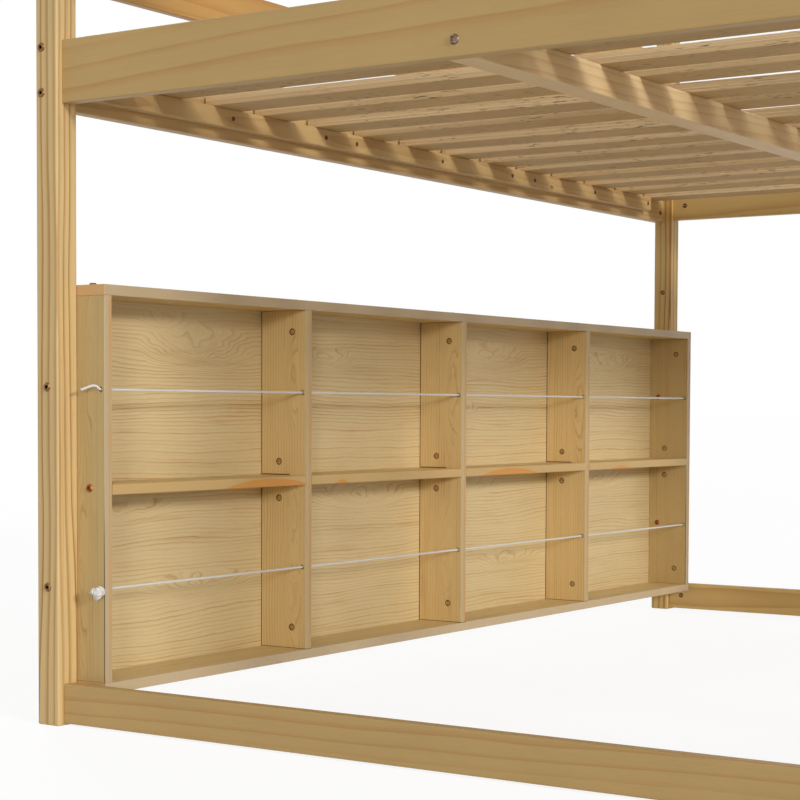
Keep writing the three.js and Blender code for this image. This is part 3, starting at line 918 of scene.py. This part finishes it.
def fasteners(name, tree, seats, material, sizes):
    """The heads of one kind as one piece, each at a seat (place, facing) and turned by chance."""
    data = bpy.data.meshes.new(name)
    data.from_pydata([spot(*place) for place, _ in seats], [], [])
    data.attributes.new("facing", "FLOAT_VECTOR", "POINT")
    data.attributes.new("spin", "FLOAT", "POINT")
    draw = random.Random(len(seats))
    for i, (_, direction) in enumerate(seats):
        data.attributes["facing"].data[i].vector = direction
        data.attributes["spin"].data[i].value = draw.uniform(0, math.pi)
    piece = bpy.data.objects.new(name, data)
    bpy.context.collection.objects.link(piece)
    modifier = piece.modifiers.new("heads", "NODES")
    modifier.node_group = tree
    for item in tree.interface.items_tree:
        if item.in_out == "INPUT" and item.name in inputs_of_head:
            value = sizes.get(item.name, inputs_of_head[item.name])
            modifier[item.identifier] = float(value if item.name == "Crown" else value * MM)
        elif item.in_out == "INPUT" and item.name == "Material":
            modifier[item.identifier] = material
    depsgraph = bpy.context.evaluated_depsgraph_get()
    plain = bpy.data.meshes.new_from_object(piece.evaluated_get(depsgraph))
    piece.modifiers.clear()
    piece.data = plain
    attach(piece, "root")


left, right, near, far, up, down = (-1, 0, 0), (1, 0, 0), (0, -1, 0), (0, 1, 0), (0, 0, 1), (0, 0, -1)

# The bed's outline, its posts, and how far in its other timbers' faces and bolts lie
bed_width = 1444
bed_length = 2087
post_middle = 21
far_panel_face = 2045
rail_thickness = 22
end_rail_setback = 11
end_rail_inside = 31
rail_bolt_x = 11.5
guard_bolt_x = 10
rail_bolt_heights = (930, 996)
end_rail_heights = (33.5, 946.5, 973.5)
guard_heights = (1125, 1269)
upright_places = (517, 1510)
upright_bolt_heights = (934, 990)
slide_rail_bolt_places = (74, 446, 1620, 1970)
beam_x = 717
beam_bolt_height = 936

# The shelf's bolts, and the dowels of the frame
shelf_foot = 47
shelf_top = 651
shelf_bolt_x = 66
post_bolt_heights = (205, 500)
middle_bolt_height = 351
panel_middles = [near_panel_face + half_panel + divider_pitch * i for i in range(5)]
bay_middles = (298, 795, 1292, 1789)
post_dowel_x = 22
post_dowel_height = 745
end_rail_dowel_x = 72
side_rail_dowel_y = 58

# The small screws, whose places along the bed and heights these are
ledger_screw_places = (408, 666, 759, 1044, 1307, 1399, 1662, 1920)
ledger_screw_height = 941
back_x = -6
back_panel_heights = (90, 210, 320, 378, 500, 615)
back_board_heights = (55, 343, 355, 643)
guard_screw_places = (501, 533, 1494, 1526)
guard_thickness = 16

# The ladder: how far out its feet stand, how much it leans, and its treads and stringers
ladder_foot = 290
ladder_lean = ladder_foot / 930
tread_count = 4
tread_rise = 203.4
half_tread = 12
half_stringer = 47.5
tread_bolt_offset = 22
ladder_faces = ((60, near), (460, far))

# The slide, with its foot bar and top cleat
slide_faces = ((1565, near), (2025, far))
foot_bar_x = bed_width + 1841.7
foot_bar_heights = (106, 134)
cleat_x = bed_width + 11
cleat_heights = (962, 1000)


def frame_bolts():
    """Bolts through the posts into rails, shelf and guards, and through the slide side's rail."""
    seats = []
    for y, facing in ((0, near), (bed_length, far)):
        for z in rail_bolt_heights:
            seats += [((x, y, z), facing) for x in (rail_bolt_x, bed_width - rail_bolt_x)]
        seats += [((guard_bolt_x, y, z), facing) for z in guard_heights]
        seats += [((post_middle, y, z), facing) for z in post_bolt_heights]
    for x, facing in ((0, left), (bed_width, right)):
        for y in (post_middle, bed_length - post_middle):
            seats += [((x, y, z), facing) for z in (*end_rail_heights, *guard_heights)]
    for y in upright_places:
        seats += [((bed_width + rail_thickness, y, z), right) for z in upright_bolt_heights]
    seats += [((bed_width - rail_thickness, y, rail_bolt_heights[1]), left) for y in slide_rail_bolt_places]
    return seats


def shelf_bolts():
    """Heads of the bolts that draw the shelf's boards onto its panels, and its far end onto the post."""
    seats = []
    for y in panel_middles:
        seats += [((shelf_bolt_x, y, shelf_top), up), ((shelf_bolt_x, y, shelf_foot), down)]
    for y, facing in ((near_panel_face, near), (far_panel_face, far)):
        seats.append(((shelf_bolt_x, y, middle_bolt_height), facing))
    seats += [((post_middle, far_panel_face - 2 * half_panel, z), near) for z in post_bolt_heights]
    return seats


def rail_dowels():
    """Slotted ends of the cross dowels in posts and rails, which the frame's bolts thread into."""
    seats = []
    for y, facing in ((near_panel_face, far), (far_panel_face, near)):
        seats.append(((post_dowel_x, y, post_dowel_height), facing))
    for y, facing in ((end_rail_inside, far), (bed_length - end_rail_inside, near)):
        for z in end_rail_heights:
            seats += [((x, y, z), facing) for x in (end_rail_dowel_x, bed_width - end_rail_dowel_x)]
    for y in (side_rail_dowel_y, bed_length - side_rail_dowel_y):
        for z in rail_bolt_heights:
            seats += [((rail_thickness, y, z), right), ((bed_width - rail_thickness, y, z), left)]
    return seats


def panel_dowels():
    """Slotted ends of the cross dowels in the bores of the shelf's upright panels."""
    seats = []
    for i, y in enumerate(panel_middles):
        face, facing = (y + half_panel, far) if i == 0 else (y - half_panel, near)
        seats += [((x, face, shelf_foot + z), facing) for x, z in bore_places]
    return seats


def beam_bolts():
    return [
        ((beam_x, end_rail_setback, beam_bolt_height), near),
        ((beam_x, bed_length - end_rail_setback, beam_bolt_height), far),
    ]


def wood_screws():
    """Small countersunk screws in the ledgers, the shelf's back and the slide side's guards."""
    seats = []
    for x, facing in ((2 * rail_thickness, right), (bed_width - 2 * rail_thickness, left)):
        seats += [((x, y, ledger_screw_height), facing) for y in ledger_screw_places]
    for places, heights in ((panel_middles, back_panel_heights), (bay_middles, back_board_heights)):
        seats += [((back_x, y, z), left) for y in places for z in heights]
    seats += [((bed_width - guard_thickness, y, z), left) for y in guard_screw_places for z in guard_heights]
    return seats


def ladder_and_slide_bolts():
    """Bolts through the stringers into the treads, and through the slide's sides into its bar and cleat."""
    seats = []
    for number in range(1, tread_count + 1):
        z = tread_rise * number - half_tread
        x = bed_width + ladder_foot - ladder_lean * z + half_stringer
        for offset in (-tread_bolt_offset, tread_bolt_offset):
            seats += [((x + offset, y, z), facing) for y, facing in ladder_faces]
    for y, facing in slide_faces:
        seats += [((foot_bar_x, y, z), facing) for z in foot_bar_heights]
        seats += [((cleat_x, y, z), facing) for z in cleat_heights]
    return seats


def all_fasteners():
    hexagon = head_plan("hexagon_heads", "hexagon")
    slot = head_plan("slotted_ends", "slot")
    cross = head_plan("cross_heads", "cross")
    bronze = metal("fastener_bronze", tint(196, 126, 66), tint(98, 56, 28), roughness=0.42)
    brown = metal("fastener_brown", tint(170, 128, 88), tint(84, 56, 34), roughness=0.4)
    dark_brown = metal("fastener_dark_brown", tint(140, 100, 62), tint(66, 44, 28), roughness=0.5, plated=0.4)
    antique = metal("fastener_antique", tint(222, 184, 112), tint(150, 112, 60), roughness=0.45, plated=0.35)
    nickel = metal("fastener_nickel", tint(168, 150, 134), tint(50, 38, 30), roughness=0.3, plated=0.7)
    small = {"Head Radius": 4.8, "Head Height": 1.6, "Crown": 0.6, "Sunk": 0.5, "Recess Width": 1.2,
             "Recess Length": 4.8, "Recess Depth": 1.1}
    rail_dowel = {"Head Radius": 5.7, "Head Height": 1.5, "Crown": 0.92, "Sunk": 0.8, "Recess Width": 1.5,
                  "Recess Length": 9, "Recess Depth": 0.9}
    dowel = {"Head Radius": 4.4, "Head Height": 1.6, "Crown": 0.94, "Sunk": 1.9, "Recess Width": 2,
             "Recess Length": 10, "Recess Depth": 1.5}
    beam = {"Head Radius": 7.4, "Head Height": 3.4, "Crown": 0.74, "Recess Width": 3.6, "Recess Depth": 3}
    frame_head = {"Head Radius": 7.4, "Head Height": 2.6, "Crown": 0.72, "Recess Width": 3, "Recess Depth": 2}
    shelf_head = {"Head Radius": 6.4, "Head Height": 3.2, "Crown": 0.7, "Recess Width": 3, "Recess Depth": 2.4}
    fasteners("frame_bolts", hexagon, frame_bolts(), brown, frame_head)
    fasteners("shelf_bolts", hexagon, shelf_bolts(), bronze, shelf_head)
    fasteners("rail_dowels", slot, rail_dowels(), dark_brown, rail_dowel)
    fasteners("panel_dowels", slot, panel_dowels(), antique, dowel)
    fasteners("beam_bolts", hexagon, beam_bolts(), nickel, beam)
    fasteners("wood_screws", cross, wood_screws(), dark_brown, small)
    fasteners("ladder_and_slide_bolts", hexagon, ladder_and_slide_bolts(), nickel, {})


all_fasteners()


# Floor, world and lights

floor_size = 300
floor_tone = 0.8
floor_share = 0.8
floor_glow = 1.1
world_level = 0.3
low_lamp_rise = 0.285
background_rays = ("Is Camera Ray", "Is Glossy Ray", "Is Transmission Ray")


def floor():
    data = bpy.data.meshes.new("floor")
    half = floor_size / 2
    data.from_pydata([(-half, -half, 0), (half, -half, 0), (half, half, 0), (-half, half, 0)], [], [(0, 1, 2, 3)])
    plane = bpy.data.objects.new("floor", data)
    bpy.context.collection.objects.link(plane)
    finish = Finish("floor_white")
    finish.set(base_color=grey(floor_tone), roughness=0.9)
    white = finish.node("ShaderNodeEmission", {}, {"Color": grey(1), "Strength": floor_glow})
    camera, glossy, through = (finish.node("ShaderNodeLightPath", {}, {}, ray) for ray in background_rays)
    mixed = finish.node("ShaderNodeMixShader", {}, {
        0: camera.most(glossy).most(through) * floor_share, 1: Wire(finish, finish.shader.outputs[0]), 2: white,
    })
    finish.give(finish.tree.nodes["Material Output"].inputs["Surface"], mixed)
    data.materials.append(finish.material)


def world():
    made = bpy.data.worlds.new("studio")
    bpy.context.scene.world = made
    made.use_nodes = True
    tree = made.node_tree
    background = tree.nodes["Background"]
    path = tree.nodes.new("ShaderNodeLightPath")
    seen = path.outputs[background_rays[0]]
    for ray in background_rays[1:]:
        either = tree.nodes.new("ShaderNodeMath")
        either.operation = "MAXIMUM"
        tree.links.new(seen, either.inputs[0])
        tree.links.new(path.outputs[ray], either.inputs[1])
        seen = either.outputs[0]
    level = tree.nodes.new("ShaderNodeMapRange")
    level.inputs["To Min"].default_value = world_level
    level.inputs["To Max"].default_value = 1
    tree.links.new(seen, level.inputs["Value"])
    background.inputs["Color"].default_value = grey(1)
    tree.links.new(level.outputs[0], background.inputs["Strength"])


def sun(name, toward, strength, softness):
    """Soft light from where toward points, as seen from the bed."""
    data = bpy.data.lights.new(name, "SUN")
    data.energy = strength
    data.angle = math.radians(softness)
    lamp = bpy.data.objects.new(name, data)
    lamp.rotation_mode = "QUATERNION"
    lamp.rotation_quaternion = Vector(toward).to_track_quat("Z", "Y")
    bpy.context.collection.objects.link(lamp)


def low_sun(name, turn_degrees, strength, softness):
    """A lamp turned from the slide side towards the near end, which stands lower the more it is turned."""
    turn = math.radians(turn_degrees)
    sun(name, (math.cos(turn), -math.sin(turn), low_lamp_rise * math.cos(turn)), strength, softness)


floor()
world()
low_sun("right", turn_degrees=15, strength=1.38, softness=9)
low_sun("front", turn_degrees=58, strength=0.72, softness=10)
sun("overhead", toward=(0.6, -0.22, 0.74), strength=0.34, softness=13)
sun("rear", toward=(-0.75, 0.58, 0.3), strength=0.75, softness=20)

bpy.context.scene.view_settings.view_transform = "Standard"
